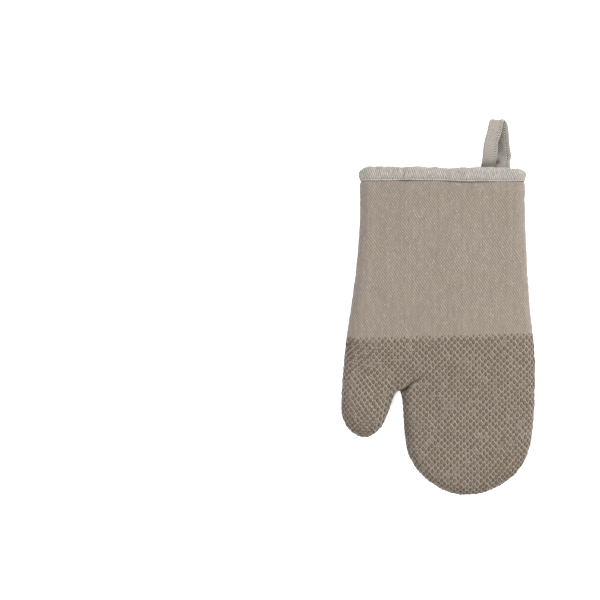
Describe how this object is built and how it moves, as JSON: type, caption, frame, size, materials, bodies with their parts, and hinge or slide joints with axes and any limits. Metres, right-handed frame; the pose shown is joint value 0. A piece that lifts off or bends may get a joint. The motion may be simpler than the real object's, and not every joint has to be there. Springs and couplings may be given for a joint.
{
  "type": "oven mitt",
  "caption": "Padded oven mitt for the right hand, with a dotted silicone grip on the lower palm and fingers, a bound cuff and a hanging loop.",
  "frame": {"origin": "centre of the bounding box in plan, on the surface that the back of the mitt lies on", "axes": "+Z out of the palm, +Y towards the cuff and hanging loop, -Y to the fingertips, -X to the thumb"},
  "size_m": [0.1784, 0.3456, 0.0291],
  "materials": {
    "outer_twill": "matt cotton twill in warm grey-beige, diagonal rib, slightly slubby",
    "wadding": "matt polyester and cotton wadding, undyed",
    "lining": "plain weave cotton lining, undyed",
    "grip_silicone": "satin brown silicone, printed as small raised dots",
    "binding_twill": "matt cotton twill tape, lighter than the body",
    "thread": "matt polyester sewing thread"
  },
  "bodies": {
    "gauntlet": {"palm_shell_gauntlet": "outer_twill", "palm_wadding_gauntlet": "wadding", "palm_lining_gauntlet": "lining", "back_shell_gauntlet": "outer_twill", "back_wadding_gauntlet": "wadding", "back_lining_gauntlet": "lining", "seam_thread_gauntlet_1": "thread", "seam_thread_gauntlet_2": "thread", "seam_thread_gauntlet_3": "thread", "binding_topstitch": "thread", "grip_print_gauntlet": "grip_silicone", "cuff_binding": "binding_twill", "loop_tail_1": "binding_twill", "loop_tail_2": "binding_twill"},
    "fingers": {"palm_shell_fingers": "outer_twill", "palm_wadding_fingers": "wadding", "palm_lining_fingers": "lining", "back_shell_fingers": "outer_twill", "back_wadding_fingers": "wadding", "back_lining_fingers": "lining", "seam_thread_fingers": "thread", "grip_print_fingers": "grip_silicone"},
    "thumb": {"palm_shell_thumb": "outer_twill", "palm_wadding_thumb": "wadding", "palm_lining_thumb": "lining", "back_shell_thumb": "outer_twill", "back_wadding_thumb": "wadding", "back_lining_thumb": "lining", "seam_thread_thumb": "thread", "grip_print_thumb": "grip_silicone"},
    "loop": {"hanging_loop": "binding_twill", "loop_edge_stitch": "thread"}
  },
  "joints": [
    {"name": "finger_flex", "type": "hinge", "parent": "gauntlet", "child": "fingers", "pos_m": [0.0286, -0.09405, 0.02], "axis": [-1, 0, 0], "range_deg": [0, 55], "stiffness_Nm_per_rad": 0.05},
    {"name": "thumb_flex", "type": "hinge", "parent": "gauntlet", "child": "thumb", "pos_m": [-0.0357, -0.07805, 0.02], "axis": [-0.7779, 0.6284, 0], "range_deg": [0, 45], "stiffness_Nm_per_rad": 0.03},
    {"name": "loop_swing", "type": "hinge", "parent": "gauntlet", "child": "loop", "pos_m": [0.05345, 0.12865, 0.0103], "axis": [1, 0, 0], "range_deg": [-70, 70], "stiffness_Nm_per_rad": 0.006}
  ]
}
